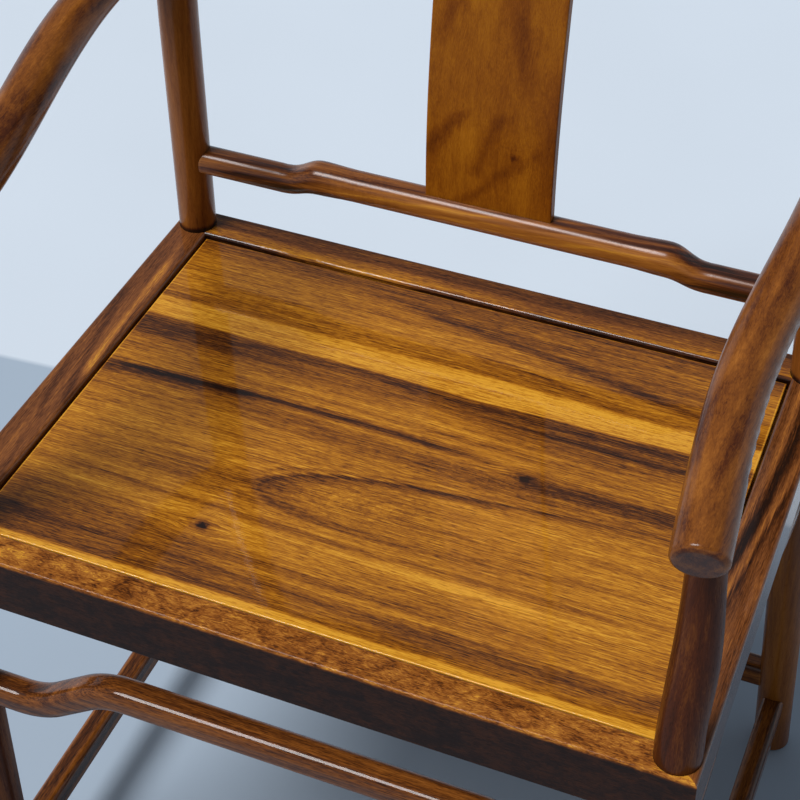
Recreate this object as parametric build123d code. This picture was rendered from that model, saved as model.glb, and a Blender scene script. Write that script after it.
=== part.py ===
"""Official's hat armchair: every separate piece of timber as one solid, joined as a joiner would.

Millimetres, +Z up, the front of the chair toward -Y. While it is built the seat frame's front edge lies
at y = 0 and the floor at z = 0; the last step centres the footprint on the origin. The chair is the same
on both sides, so a piece that comes as a pair is built once, on the right, and mirrored.
"""

import math
import os

from build123d import *

# ---------------------------------------------------------------- seat frame and panel
SEAT_HEIGHT = 490.0  # floor to the top of the seat frame
SEAT_WIDTH_FRONT = 600.0
SEAT_WIDTH_BACK = 584.0
SEAT_DEPTH = 435.5
FRAME_THICKNESS = 54.0
FRONT_LAND = 26.5  # width of a rail's top, outside the panel
SIDE_LAND = 31.5
BACK_LAND = 31.0
RAIL_TO_LAND = 1.9  # a rail's whole width, with the step that carries the panel, over its land
FRAME_TOP_ROUND = 2.5  # rounding of the outer top edge
FRAME_BOTTOM_ROUND = 1.5
LAND_ROUND = 3.0  # rounding of the land's inner edge
PANEL_THICKNESS = 16.0
PANEL_RECESS = 3.5  # depth of the panel's top below the land
PANEL_GAP = 2.2  # gap left round the panel for its movement
PANEL_ROUND = 1.0
TONGUE_THICKNESS = 8.0
TONGUE_LENGTH = 6.0  # how far the tongue enters the groove
TONGUE_CLEARANCE = 0.3  # above the tongue
GROOVE_SLACK = 1.5  # groove left empty behind the tongue
FRAME_TENON_WIDTH = 11.0
FRAME_TENON_THICKNESS = 14.0
FRAME_TENON_LENGTH = 30.0
FRAME_TENON_ROOT = 12.0  # length of the tenon inside its own rail
FRAME_TENON_INSET = 37.5  # outer edge of the rail to the tenon
FRAME_TENON_RISE = 10.0  # underside of the rail to the tenon
BATTEN_OFFSET = 105.0  # middle of the seat to each batten
BATTEN_WIDTH = 30.0
BATTEN_HEIGHT = 26.0
DOVETAIL_DEPTH = 5.0
DOVETAIL_FLARE = 2.5
DOVETAIL_SHOULDER = 3.0  # flat of the batten beside the crown of its dovetail
BATTEN_TENON_WIDTH = 14.0
BATTEN_TENON_HEIGHT = 14.0
BATTEN_TENON_LENGTH = 12.0
BATTEN_TENON_DROP = 7.0  # top of the batten to the tenon

# ---------------------------------------------------------------- legs and posts
POST_RADIUS = 16.2  # back post, where it passes the seat frame and above it
POST_TOP_RADIUS = 14.5
POST_THINNING = (0.1, 1.0)  # shares of the swept length between which the post thins
ARM_POST_RADIUS = 16.2
ARM_POST_TOP_RADIUS = 12.8
ARM_POST_THINNING = (0.3, 0.8)
LEG_RADIUS = 17.0  # below the seat: the frame rests on the shoulder
LEG_CLEARANCE = 0.2  # round a leg in its hole through the frame
FOOT_CHAMFER = 2.0
BACK_LEG_INSET_X = 17.7  # the seat's back corner to the axis of the leg at the top of the frame
BACK_LEG_INSET_Y = 18.3
BACK_SPLAY_X = 0.041  # sideways lean, a rise of one
BACK_SPLAY_Y = 0.040
BACK_STRAIGHT = 200.0  # height above the seat where a back post starts to curve
BACK_SWEEP = 69.0  # how far back the post's top is swept from the line of the leg
FRONT_LEG_INSET_X = 18.5
FRONT_LEG_INSET_Y = 19.0
FRONT_SPLAY_X = 0.030
FRONT_SPLAY_Y = 0.020

# ---------------------------------------------------------------- arms, from the top of the nearest leg
ARM_RADIUS = 18.2
ARM_BACK_RADIUS = 15.0
ARM_THINNING = (0.62, 1.0)
ARM_TIP = (2.2, -28.5, 215.5)  # the cut front end: outward, back, height above the seat
ARM_OVER_POST = (-3.2, 18.0, 227.0)
ARM_WAIST = (-9.2, 101.0, 244.0)
ARM_BULGE = (10.3, -117.2, 277.0)  # from the back leg
ARM_BACK_HEIGHT = 290.0
ARM_POST_BOW = (1.2, 9.0, 82.0)  # the gooseneck above the seat
ARM_POST_WAIST = (-0.6, 15.0, 164.0)
CUT_END_LENGTH = 7.0  # straight length behind the cut end of an arm or of the crest rail
CUT_END_ROUND = 4.5

# ---------------------------------------------------------------- back
SPLAT_RAIL_HEIGHT = 73.5  # axis at the posts, above the seat
SPLAT_RAIL_RISE = 9.0
SPLAT_RAIL_SIZE = 24.4  # thickness of the raised middle
SPLAT_RAIL_END_SIZE = 22.4
SPLAT_RAIL_SHOULDER_SIZE = 26.4  # at the top of a ramp
SPLAT_RAIL_CORNER_SHARE = 0.38  # radius of the rounded corners over the thickness
SPLAT_RAIL_RAMP_OUT = 91.0  # axis of the post to the foot of the ramp
SPLAT_RAIL_RAMP_LENGTH = 30.0
SPLAT_RAIL_SHOULDER_LENGTH = 34.0  # from the top of a ramp to where the middle's thickness starts
SPLAT_RAIL_RINGS = 8  # cross-sections along a ramp and its shoulder
SPLAT_WIDTH = 107.5
SPLAT_THICKNESS = 10.0
SPLAT_ROUND = 1.2  # rounding of the splat's long edges
SPLAT_TONGUE = 9.0  # depth of the splat in its slots
SPLAT_HOLLOW = 7.0  # how far the S lies in front of a straight line, and behind it
SPLAT_HOLLOW_AT = 0.30  # share of the splat's height
SPLAT_SWELL = 5.0
SPLAT_SWELL_AT = 0.72
CREST_HEIGHT = 585.0  # axis at the posts, above the seat
CREST_RISE = 27.0  # rise of the middle
CREST_BOW = 24.0  # how far back the middle lies
CREST_RISE_OUT = 165.0  # middle of the rail to the foot of its rise
CREST_RISE_IN = 75.0
CREST_OVERHANG = 58.0  # axis of the post to the cut end
CREST_END_LIFT = 9.0
CREST_RADIUS = 17.0
CREST_MIDDLE_HALF_HEIGHT = 22.0
CREST_MIDDLE_HALF_DEPTH = 19.0
CREST_RINGS = 14  # cross-sections that the crest rail is drawn through
THINNING_RINGS = 8  # cross-sections that a thinning bar is drawn through

# ---------------------------------------------------------------- stretchers
HUMP_HEIGHT = 310.0  # axis of the front and back stretchers at the legs, above the floor
HUMP_RISE = 46.0
SIDE_HUMP_HEIGHT = 381.0  # the side ones lie close under the frame
SIDE_HUMP_RISE = 26.0
HUMP_SIZE = 25.0
SIDE_HUMP_WIDTH = 21.0
HUMP_CORNER = 9.0
HUMP_RAMP_OUT = 62.0  # axis of the leg to the foot of the ramp
HUMP_RAMP_LENGTH = 62.0
FOOTRAIL_HEIGHT = 38.0  # axis above the floor, lowest at the front and highest at the back
FOOTRAIL_WIDTH = 34.0
FOOTRAIL_THICKNESS = 24.0
SIDE_FOOT_HEIGHT = 66.0
BACK_FOOT_HEIGHT = 98.0
FOOT_STRETCHER_WIDTH = 20.0
FOOT_STRETCHER_THICKNESS = 28.0
FOOT_STRETCHER_CORNER = 6.0
BEND_RADIUS = 60.0

# ---------------------------------------------------------------- joints
JOINT_CLEARANCE = 0.15
TENON_DEPTH = 11.0  # how far a stretcher's tenon enters the leg
TENON_WIDTH = 9.0
TENON_MARGIN = 5.0  # above and below a tenon, and how far a tenon starts inside its own piece
ROUND_TENON_RADIUS = 7.0
ROUND_TENON_DEPTH = 15.0
PEG_RADIUS = 3.0
CREST_PEG_RADIUS = 2.5
CREST_PEG_RECESS = 1.2  # keeps the peg's flat end just under the rail's round back

LEFT, RIGHT = -1, 1
EDGE_ENDS = {
    "front": (("front", LEFT), ("front", RIGHT)),
    "right": (("front", RIGHT), ("back", RIGHT)),
    "back": (("back", RIGHT), ("back", LEFT)),
}


# ---------------------------------------------------------------- helpers


def mirrored(shape: Part) -> Part:
    """The same shape on the other side of the chair's middle plane."""
    return shape.mirror(Plane.YZ)


def across(point: Vector) -> Vector:
    """The same point on the other side of the chair's middle plane."""
    return Vector(-point.X, point.Y, point.Z)


def ease(value: float, low: float, high: float) -> float:
    """0 up to low, 1 from high on, an easy S between them; low may be the larger of the two."""
    share = min(1.0, max(0.0, (value - low) / (high - low)))
    return share * share * (3 - 2 * share)


def box_between(low: tuple, high: tuple, grow: float = 0.0) -> Part:
    """The box between two opposite corners, grown on every side."""
    sizes = [abs(b - a) + 2 * grow for a, b in zip(low, high)]
    middle = [(a + b) / 2 for a, b in zip(low, high)]
    return Pos(*middle) * Box(*sizes)


def rod(start: Vector, end: Vector, radius: float, end_round: float = 0.0) -> Part:
    """A round bar between two points, its far end softened where end_round is given."""
    along = end - start
    bar = Cylinder(radius, along.length, align=(Align.CENTER, Align.CENTER, Align.MIN))
    if end_round:
        bar = fillet(bar.edges().sort_by(Axis.Z)[-1], end_round)
    return Plane(origin=start, z_dir=along) * bar


def oval(point: Vector, direction: Vector, half_width: float, half_height: float) -> Sketch:
    """An ellipse across a direction, with its width axis kept level."""
    level = Vector(0, 0, 1).cross(direction)
    if level.length < 0.5 * direction.length:
        level = Vector(1, 0, 0) - direction * (direction.X / direction.length**2)
    return Plane(origin=point, x_dir=level, z_dir=direction) * Ellipse(half_width, half_height)


def thinning_rod(path: Edge, start_radius: float, end_radius: float, between: tuple) -> Part:
    """A round bar along a curve that thins between two shares of the curve's length."""
    rings = []
    for step in range(THINNING_RINGS + 1):
        share = step / THINNING_RINGS
        radius = start_radius + (end_radius - start_radius) * ease(share, *between)
        rings.append(oval(path @ share, path % share, radius, radius))
    return loft(rings)


# ---------------------------------------------------------------- outline of the seat


def seat_half_width(y: float, inset: float) -> float:
    """Half the seat's width at depth y, measured to a line that lies inset inside its side edge."""
    taper = (SEAT_WIDTH_FRONT - SEAT_WIDTH_BACK) / 2 / SEAT_DEPTH
    return SEAT_WIDTH_FRONT / 2 - taper * y - inset * math.hypot(1.0, taper)


def seat_corners(lands: float, further: float = 0.0) -> dict:
    """Corners of an outline inside the seat's edge, by so many widths of the land and then further."""
    front_y = lands * FRONT_LAND + further
    rear_y = SEAT_DEPTH - lands * BACK_LAND - further
    side = lands * SIDE_LAND + further
    front = seat_half_width(front_y, side)
    back = seat_half_width(rear_y, side)
    return {
        ("front", LEFT): (-front, front_y),
        ("front", RIGHT): (front, front_y),
        ("back", RIGHT): (back, rear_y),
        ("back", LEFT): (-back, rear_y),
    }


def seat_plate(further: float, bottom: float, top: float) -> Part:
    """A plate that ends further inside than the land's inner edge, between two heights."""
    plan = Polygon(*seat_corners(1.0, further).values(), align=None)
    return extrude(Pos(0, 0, bottom) * plan, top - bottom, dir=(0, 0, 1))


def ledge_height() -> float:
    """The height of the step that the panel rests on."""
    return SEAT_HEIGHT - PANEL_RECESS - PANEL_THICKNESS


def step_line(edge: str) -> float:
    """The depth, from the seat's front edge, of the inner side of the front or back rail."""
    if edge == "front":
        return RAIL_TO_LAND * FRONT_LAND
    return SEAT_DEPTH - RAIL_TO_LAND * BACK_LAND


# ---------------------------------------------------------------- legs


def back_axis(height: float) -> Vector:
    """A point on the straight axis of the right back leg at a height above the floor."""
    drop = SEAT_HEIGHT - height
    x = SEAT_WIDTH_BACK / 2 - BACK_LEG_INSET_X + BACK_SPLAY_X * drop
    return Vector(x, SEAT_DEPTH - BACK_LEG_INSET_Y + BACK_SPLAY_Y * drop, height)


def front_axis(height: float) -> Vector:
    """A point on the straight axis of the right front leg at a height above the floor."""
    drop = SEAT_HEIGHT - height
    x = SEAT_WIDTH_FRONT / 2 - FRONT_LEG_INSET_X + FRONT_SPLAY_X * drop
    return Vector(x, FRONT_LEG_INSET_Y - FRONT_SPLAY_Y * drop, height)


def leg_shaft(axis, neck_radius: float, grow: float = 0.0) -> Part:
    """The straight part of a leg: from the floor to the top of the seat, with the frame's shoulder."""
    shoulder = SEAT_HEIGHT - FRAME_THICKNESS
    shaft = rod(axis(-LEG_RADIUS), axis(SEAT_HEIGHT), LEG_RADIUS + grow)
    shaft = split(shaft, Plane.XY.offset(shoulder), keep=Keep.BOTTOM)
    shaft = split(shaft, Plane.XY, keep=Keep.TOP)
    return shaft + rod(axis(shoulder - LEG_RADIUS), axis(SEAT_HEIGHT), neck_radius + grow)


def leg_hole(axis, neck_radius: float) -> Part:
    """The round hole through the seat frame that a leg passes."""
    start = axis(SEAT_HEIGHT - 2 * FRAME_THICKNESS)
    return rod(start, axis(SEAT_HEIGHT + FRAME_THICKNESS), neck_radius + LEG_CLEARANCE)


def leg_holes() -> list:
    """The holes of all four legs."""
    right = [leg_hole(front_axis, ARM_POST_RADIUS), leg_hole(back_axis, POST_RADIUS)]
    return right + [mirrored(hole) for hole in right]


def back_sweep(rise: float) -> Vector:
    """How far the back post has swept from the line of the leg at a height above the seat."""
    share = max(0.0, rise - BACK_STRAIGHT) / (CREST_HEIGHT - BACK_STRAIGHT)
    return Vector(0, BACK_SWEEP * share**2, 0)


def post_axis(rise: float) -> Vector:
    """A point on the axis of the back post at a height above the seat."""
    return back_axis(SEAT_HEIGHT + rise) + back_sweep(rise)


def back_post_path() -> Edge:
    """The curved axis of the back post, from its straight part up to the crest rail."""
    third = (CREST_HEIGHT - BACK_STRAIGHT) / 3
    stations = [post_axis(BACK_STRAIGHT + step * third) for step in range(4)]
    lean = back_axis(SEAT_HEIGHT + 1) - back_axis(SEAT_HEIGHT)
    finish = post_axis(CREST_HEIGHT) - post_axis(CREST_HEIGHT - 1)
    return Spline(*stations, tangents=(lean, finish))


def back_post(grow: float = 0.0) -> Part:
    """The back post above the seat: straight, then swept back with a taper."""
    bend = post_axis(BACK_STRAIGHT)
    lower = rod(back_axis(SEAT_HEIGHT - 1), bend, POST_RADIUS + grow)
    return lower + thinning_rod(back_post_path(), POST_RADIUS + grow, POST_TOP_RADIUS + grow, POST_THINNING)


def from_leg(axis, offset: tuple) -> Vector:
    """A point given as (outward, back, height above the seat) from the top of a right leg."""
    return axis(SEAT_HEIGHT) + Vector(*offset)


def arm_post_path() -> Edge:
    """The axis of the arm post: a slight gooseneck from the seat up into the arm."""
    seat_top = front_axis(SEAT_HEIGHT)
    lean = front_axis(SEAT_HEIGHT + 1) - seat_top
    offsets = (ARM_POST_BOW, ARM_POST_WAIST, ARM_OVER_POST)
    bow, waist, top = [from_leg(front_axis, offset) for offset in offsets]
    return Spline(seat_top, bow, waist, top, tangents=(lean, top - waist))


# ---------------------------------------------------------------- arms and crest rail


def arm_path() -> Edge:
    """The axis of the arm, from just behind its cut front end to the axis of the back post."""
    front = [from_leg(front_axis, point) for point in (ARM_TIP, ARM_OVER_POST, ARM_WAIST)]
    bulge = from_leg(back_axis, ARM_BULGE)
    start = front[0] + (front[1] - front[0]).normalized() * CUT_END_LENGTH
    return Spline(start, *front[1:], bulge, post_axis(ARM_BACK_HEIGHT))


def arm_body(grow: float = 0.0) -> Part:
    """The whole round bar of the arm before it is shaped to the posts."""
    path = arm_path()
    nose = path @ 0 - (path % 0) * CUT_END_LENGTH
    body = thinning_rod(path, ARM_RADIUS + grow, ARM_BACK_RADIUS + grow, ARM_THINNING)
    return body + rod(path @ 0, nose, ARM_RADIUS + grow, CUT_END_ROUND)


def crest_point(x: float) -> Vector:
    """The axis of the crest rail at a distance x from the middle."""
    post = post_axis(CREST_HEIGHT)
    lift = CREST_RISE * ease(abs(x), CREST_RISE_OUT, CREST_RISE_IN)
    outside = max(0.0, abs(x) - post.X) / CREST_OVERHANG
    bow = CREST_BOW * (1 - (x / post.X) ** 2)
    return Vector(x, post.Y + bow, post.Z + lift + CREST_END_LIFT * outside**1.5)


def crest_body(grow: float = 0.0) -> Part:
    """The yoke-shaped top rail before its mortises are cut."""
    post = post_axis(CREST_HEIGHT).X
    end = post + CREST_OVERHANG - CUT_END_LENGTH
    stations = (end, post, CREST_RISE_OUT, (CREST_RISE_IN + CREST_RISE_OUT) / 2, CREST_RISE_IN)
    points = [crest_point(-x) for x in stations] + [crest_point(x) for x in reversed(stations)]
    path = Spline(*points)
    rings = []
    for step in range(CREST_RINGS + 1):
        center = path @ (step / CREST_RINGS)
        fullness = ease(abs(center.X), CREST_RISE_OUT, CREST_RISE_IN)
        half_height = CREST_RADIUS + fullness * (CREST_MIDDLE_HALF_HEIGHT - CREST_RADIUS) + grow
        half_depth = CREST_RADIUS + fullness * (CREST_MIDDLE_HALF_DEPTH - CREST_RADIUS) + grow
        rings.append(oval(center, path % (step / CREST_RINGS), half_depth, half_height))
    nose = path @ 1 + (path % 1) * CUT_END_LENGTH
    cut_end = rod(path @ 1, nose, CREST_RADIUS + grow, CUT_END_ROUND)
    return loft(rings) + cut_end + mirrored(cut_end)


# ---------------------------------------------------------------- splat and its rail


def splat_rail_ring(x: float) -> Sketch:
    """The splat rail's cross-section at a distance x from the middle."""
    post = post_axis(SPLAT_RAIL_HEIGHT)
    foot = post.X - SPLAT_RAIL_RAMP_OUT
    top = foot - SPLAT_RAIL_RAMP_LENGTH
    climb = ease(abs(x), foot, top)
    settled = ease(abs(x), top, top - SPLAT_RAIL_SHOULDER_LENGTH)
    size = SPLAT_RAIL_END_SIZE + climb * (SPLAT_RAIL_SHOULDER_SIZE - SPLAT_RAIL_END_SIZE)
    size += settled * (SPLAT_RAIL_SIZE - SPLAT_RAIL_SHOULDER_SIZE)
    center = Vector(x, post.Y, post.Z + climb * SPLAT_RAIL_RISE)
    section = RectangleRounded(size, size, size * SPLAT_RAIL_CORNER_SHARE)
    return Plane(origin=center, x_dir=(0, 1, 0), z_dir=(1, 0, 0)) * section


def splat_rail_bar() -> Part:
    """The splat rail from post axis to post axis: slim ends, a full shoulder over each ramp."""
    post = post_axis(SPLAT_RAIL_HEIGHT).X
    changing = SPLAT_RAIL_RAMP_LENGTH + SPLAT_RAIL_SHOULDER_LENGTH
    stride = changing / SPLAT_RAIL_RINGS
    outer = post - SPLAT_RAIL_RAMP_OUT + stride
    inner = outer - changing - 2 * stride
    ramp = loft([splat_rail_ring(outer - step * stride) for step in range(SPLAT_RAIL_RINGS + 3)])
    end = extrude(splat_rail_ring(outer), post - outer, dir=(1, 0, 0))
    half = end + ramp + extrude(splat_rail_ring(inner), inner, dir=(-1, 0, 0))
    return half + mirrored(half)


def splat_board(grow: float = 0.0) -> Part:
    """The splat: a board with a slight S in its side view, from slot to slot."""
    rail_top = SPLAT_RAIL_HEIGHT + SPLAT_RAIL_RISE + SPLAT_RAIL_SIZE / 2
    bottom = Vector(0, post_axis(SPLAT_RAIL_HEIGHT).Y, SEAT_HEIGHT + rail_top - SPLAT_TONGUE)
    top = crest_point(0) - Vector(0, 0, CREST_MIDDLE_HALF_HEIGHT - SPLAT_TONGUE)
    hollow = bottom + (top - bottom) * SPLAT_HOLLOW_AT - Vector(0, SPLAT_HOLLOW, 0)
    swell = bottom + (top - bottom) * SPLAT_SWELL_AT + Vector(0, SPLAT_SWELL, 0)
    points = (bottom, hollow, swell, top)
    half = Vector(0, SPLAT_THICKNESS / 2 + grow, 0)
    face_curve = Spline(*[point - half for point in points])
    back_curve = Spline(*[point + half for point in points])
    foot = Line(face_curve @ 0, back_curve @ 0)
    head = Line(face_curve @ 1, back_curve @ 1)
    profile = make_face([face_curve, head, back_curve, foot])
    board = extrude(profile, SPLAT_WIDTH / 2 + grow, dir=(1, 0, 0), both=True)
    return fillet(board.edges().filter_by(GeomType.BSPLINE), SPLAT_ROUND)


# ---------------------------------------------------------------- stretchers


class Stretcher:
    """A bar between two legs, shaped to the round legs, with a tenon at each end."""

    def __init__(self, start: Vector, end: Vector, width: float, height: float, corner: float):
        along = end - start
        level = Vector(0, 0, 1).cross(along)
        self.length = along.length
        self.width = width
        self.height = height
        self.corner = corner
        self.place = Plane(origin=(start + end) * 0.5, x_dir=along, z_dir=along.cross(level)).location
        self.hump = None

    def with_hump(self, rise: float, ramp_out: float, ramp_length: float) -> "Stretcher":
        """Raise the middle of the bar; a ramp starts ramp_out from each end."""
        foot = self.length / 2 - ramp_out
        self.hump = (rise, foot, foot - ramp_length)
        return self

    def bar(self) -> Part:
        """The bar from leg axis to leg axis."""
        half = self.length / 2
        start = Plane(origin=(-half, 0, 0), x_dir=(0, 1, 0), z_dir=(1, 0, 0))
        section = start * RectangleRounded(self.width, self.height, self.corner)
        if self.hump is None:
            return self.place * extrude(section, self.length)
        rise, foot, top = self.hump
        corners = [(-half, 0, 0), (-foot, 0, 0), (-top, 0, rise)]
        others = [(-x, y, z) for x, y, z in reversed(corners)]
        path = FilletPolyline(*corners, *others, radius=BEND_RADIUS)
        return self.place * sweep(section, path=path)

    def tenon(self, end: int, grow: float = 0.0) -> Part:
        """The flat tenon at one end, or with grow the mortise that takes it."""
        root = self.length / 2 - LEG_RADIUS - TENON_MARGIN
        tip = self.length / 2 - LEG_RADIUS + TENON_DEPTH + grow
        half_width = TENON_WIDTH / 2 + grow
        half_height = self.height / 2 - TENON_MARGIN + grow
        block = box_between((end * root, -half_width, -half_height), (end * tip, half_width, half_height))
        return self.place * block


def round_tenon(tip: Vector, direction: Vector, radius: float, reach: float, grow: float = 0.0) -> Part:
    """A round tenon from a radius and a margin before tip, inside its own piece, to reach past tip."""
    unit = direction.normalized()
    return rod(tip - unit * (radius + TENON_MARGIN), tip + unit * (reach + grow), ROUND_TENON_RADIUS + grow)


# ---------------------------------------------------------------- seat


def frame_tenon_sides(edge: str) -> tuple:
    """The depths between which a front or back rail's tenon lies."""
    near, far = FRAME_TENON_INSET, FRAME_TENON_INSET + FRAME_TENON_WIDTH
    if edge == "back":
        return SEAT_DEPTH - near, SEAT_DEPTH - far
    return near, far


def frame_shoulder(y: float) -> float:
    """The distance from the middle to the inner side of the right rail at depth y."""
    return seat_half_width(y, RAIL_TO_LAND * SIDE_LAND)


def frame_tenon(edge: str, grow: float = 0.0) -> Part:
    """The right tenon of the front or back rail, or with grow its mortise in the side rail."""
    near, far = frame_tenon_sides(edge)
    shoulder = frame_shoulder(far)
    bottom = SEAT_HEIGHT - FRAME_THICKNESS + FRAME_TENON_RISE
    low = (shoulder - FRAME_TENON_ROOT, near, bottom)
    high = (shoulder + FRAME_TENON_LENGTH, far, bottom + FRAME_TENON_THICKNESS)
    return box_between(low, high, grow)


def frame_peg(edge: str, grow: float = 0.0) -> Part:
    """The peg that locks a frame tenon, driven from below, or with grow its hole."""
    near, far = frame_tenon_sides(edge)
    x = frame_shoulder(far) + FRAME_TENON_LENGTH / 2
    foot = Vector(x, (near + far) / 2, SEAT_HEIGHT - FRAME_THICKNESS)
    length = FRAME_TENON_RISE + FRAME_TENON_THICKNESS + TENON_MARGIN
    return rod(foot, foot + Vector(0, 0, length + grow), PEG_RADIUS + grow)


def batten_tenon(edge: str, grow: float = 0.0) -> Part:
    """The tenon of the right batten in the front or back rail, or with grow its mortise."""
    line = step_line(edge)
    top = ledge_height() - BATTEN_TENON_DROP
    low = (BATTEN_OFFSET - BATTEN_TENON_WIDTH / 2, line - BATTEN_TENON_LENGTH, top - BATTEN_TENON_HEIGHT)
    high = (BATTEN_OFFSET + BATTEN_TENON_WIDTH / 2, line + BATTEN_TENON_LENGTH, top)
    return box_between(low, high, grow)


def dovetail(grow: float = 0.0) -> Part:
    """The dovetailed ridge along the right batten's top, or with grow its groove in the panel."""
    crown = BATTEN_WIDTH / 2 - DOVETAIL_SHOULDER + grow
    base = crown - DOVETAIL_FLARE
    low = ledge_height()
    high = low + DOVETAIL_DEPTH + grow
    start = step_line("front") + JOINT_CLEARANCE - grow
    stop = step_line("back") - JOINT_CLEARANCE + grow
    outline = Polygon((-base, low), (base, low), (crown, high), (-crown, high), align=None)
    across_batten = Plane(origin=(BATTEN_OFFSET, start, 0), x_dir=(1, 0, 0), z_dir=(0, -1, 0))
    return extrude(across_batten * outline, start - stop)


def frame_rail(edge: str) -> Part:
    """One rail of the seat frame with its rounded edges, step, groove and leg holes."""
    bottom = SEAT_HEIGHT - FRAME_THICKNESS
    first, second = EDGE_ENDS[edge]
    outside = seat_corners(0.0)
    inside = seat_corners(RAIL_TO_LAND)
    plan = Polygon(outside[first], outside[second], inside[second], inside[first], align=None)
    rail = extrude(Pos(0, 0, bottom) * plan, FRAME_THICKNESS, dir=(0, 0, 1))
    rail -= seat_plate(0.0, ledge_height(), SEAT_HEIGHT + 1)

    axis, outer, inner = {"front": (Axis.Y, 0, -1), "back": (Axis.Y, -1, 0), "right": (Axis.X, -1, 0)}[edge]
    top_edges = rail.faces().sort_by(Axis.Z)[-1].edges().sort_by(axis)
    rail = fillet(top_edges[inner], LAND_ROUND)
    top_edges = rail.faces().filter_by(Plane.XY).sort_by(Axis.Z)[-1].edges().sort_by(axis)
    rail = fillet(top_edges[outer], FRAME_TOP_ROUND)
    bottom_edges = rail.faces().sort_by(Axis.Z)[0].edges().sort_by(axis)
    rail = fillet(bottom_edges[outer], FRAME_BOTTOM_ROUND)

    groove_top = ledge_height() + TONGUE_THICKNESS + TONGUE_CLEARANCE
    rail -= seat_plate(-TONGUE_LENGTH - GROOVE_SLACK, ledge_height(), groove_top)
    for hole in leg_holes():
        rail -= hole
    return rail


def build_seat() -> dict:
    """The seat frame's rails, the panel, the right batten and the frame's right pegs."""
    pieces = {}
    side_rail = frame_rail("right")
    for edge in ("front", "back"):
        side_rail -= frame_tenon(edge, JOINT_CLEARANCE)
        side_rail -= frame_peg(edge, JOINT_CLEARANCE)
        joints = [(frame_tenon(edge), frame_peg(edge, JOINT_CLEARANCE), batten_tenon(edge, JOINT_CLEARANCE))]
        joints.append([mirrored(cutter) for cutter in joints[0]])
        rail = frame_rail(edge)
        for tenon, peg_hole, batten_mortise in joints:
            rail = rail + tenon - peg_hole - batten_mortise
        pieces[f"seat_{edge}_rail"] = rail
    pieces["seat_right_rail"] = side_rail

    low = ledge_height()
    slab = seat_plate(PANEL_GAP, low, low + PANEL_THICKNESS)
    slab = fillet(slab.faces().sort_by(Axis.Z)[-1].edges(), PANEL_ROUND)
    panel = seat_plate(-TONGUE_LENGTH, low, low + TONGUE_THICKNESS) + slab
    for hole in leg_holes():
        panel -= hole
    groove = dovetail(JOINT_CLEARANCE)
    pieces["seat_panel"] = panel - groove - mirrored(groove)

    near = (BATTEN_OFFSET - BATTEN_WIDTH / 2, step_line("front") + JOINT_CLEARANCE, low - BATTEN_HEIGHT)
    far = (BATTEN_OFFSET + BATTEN_WIDTH / 2, step_line("back") - JOINT_CLEARANCE, low)
    batten = box_between(near, far) + dovetail()
    for edge in ("front", "back"):
        batten += batten_tenon(edge)
    pieces["panel_batten_right"] = batten
    pieces["frame_tenon_pegs"] = [frame_peg(edge) for edge in ("front", "back")]
    return pieces


def build_upper_parts(legs: dict) -> dict:
    """The right arm, the back and the crest rail; their mortises are cut in the right legs."""
    rail_end = post_axis(SPLAT_RAIL_HEIGHT)
    into_leg = (rail_end, Vector(1, 0, 0), POST_RADIUS, ROUND_TENON_DEPTH - POST_RADIUS)
    dowel = round_tenon(*into_leg)
    post_void = back_post(JOINT_CLEARANCE)
    splat_rail = splat_rail_bar() - post_void - mirrored(post_void) + dowel + mirrored(dowel)
    post = back_post() - round_tenon(*into_leg, JOINT_CLEARANCE)

    path = arm_path()
    into_post = (path @ 1, path % 1, POST_RADIUS, TENON_MARGIN)
    arm = arm_body() - post_void + round_tenon(*into_post)
    post -= round_tenon(*into_post, JOINT_CLEARANCE)

    post_line = arm_post_path()
    into_arm = (post_line @ 1, post_line % 1, ARM_RADIUS, 0.0)
    arm_post = thinning_rod(post_line, ARM_POST_RADIUS, ARM_POST_TOP_RADIUS, ARM_POST_THINNING)
    arm_post = (arm_post - arm_body(JOINT_CLEARANCE)).solids().sort_by(Axis.Z)[0]
    legs["front"] += arm_post
    legs["front"] += round_tenon(*into_arm)
    arm -= round_tenon(*into_arm, JOINT_CLEARANCE)

    post_line = back_post_path()
    into_crest = (post_line @ 1, post_line % 1, CREST_RADIUS, 0.0)
    post = (post - crest_body(JOINT_CLEARANCE)).solids().sort_by(Axis.Z)[0]
    post += round_tenon(*into_crest)
    crest_mortise = round_tenon(*into_crest, JOINT_CLEARANCE)
    peg_start = post_line @ 1 + Vector(0, CREST_RADIUS - CREST_PEG_RECESS, -TENON_MARGIN)
    peg_end = peg_start - Vector(0, CREST_RADIUS + TENON_MARGIN, 0)
    behind_rail = peg_start + Vector(0, CREST_RADIUS, 0)
    peg_hole = rod(behind_rail, peg_end, CREST_PEG_RADIUS + JOINT_CLEARANCE)
    legs["back"] += post - peg_hole

    slot = splat_board(JOINT_CLEARANCE)
    crest = crest_body() - slot
    for cutter in (crest_mortise, peg_hole):
        crest = crest - cutter - mirrored(cutter)
    return {
        "arm_right": arm,
        "splat_rail": splat_rail - slot,
        "crest_rail": crest,
        "back_splat": splat_board(),
        "crest_rail_pegs": [rod(peg_start, peg_end, CREST_PEG_RADIUS)],
    }


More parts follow.
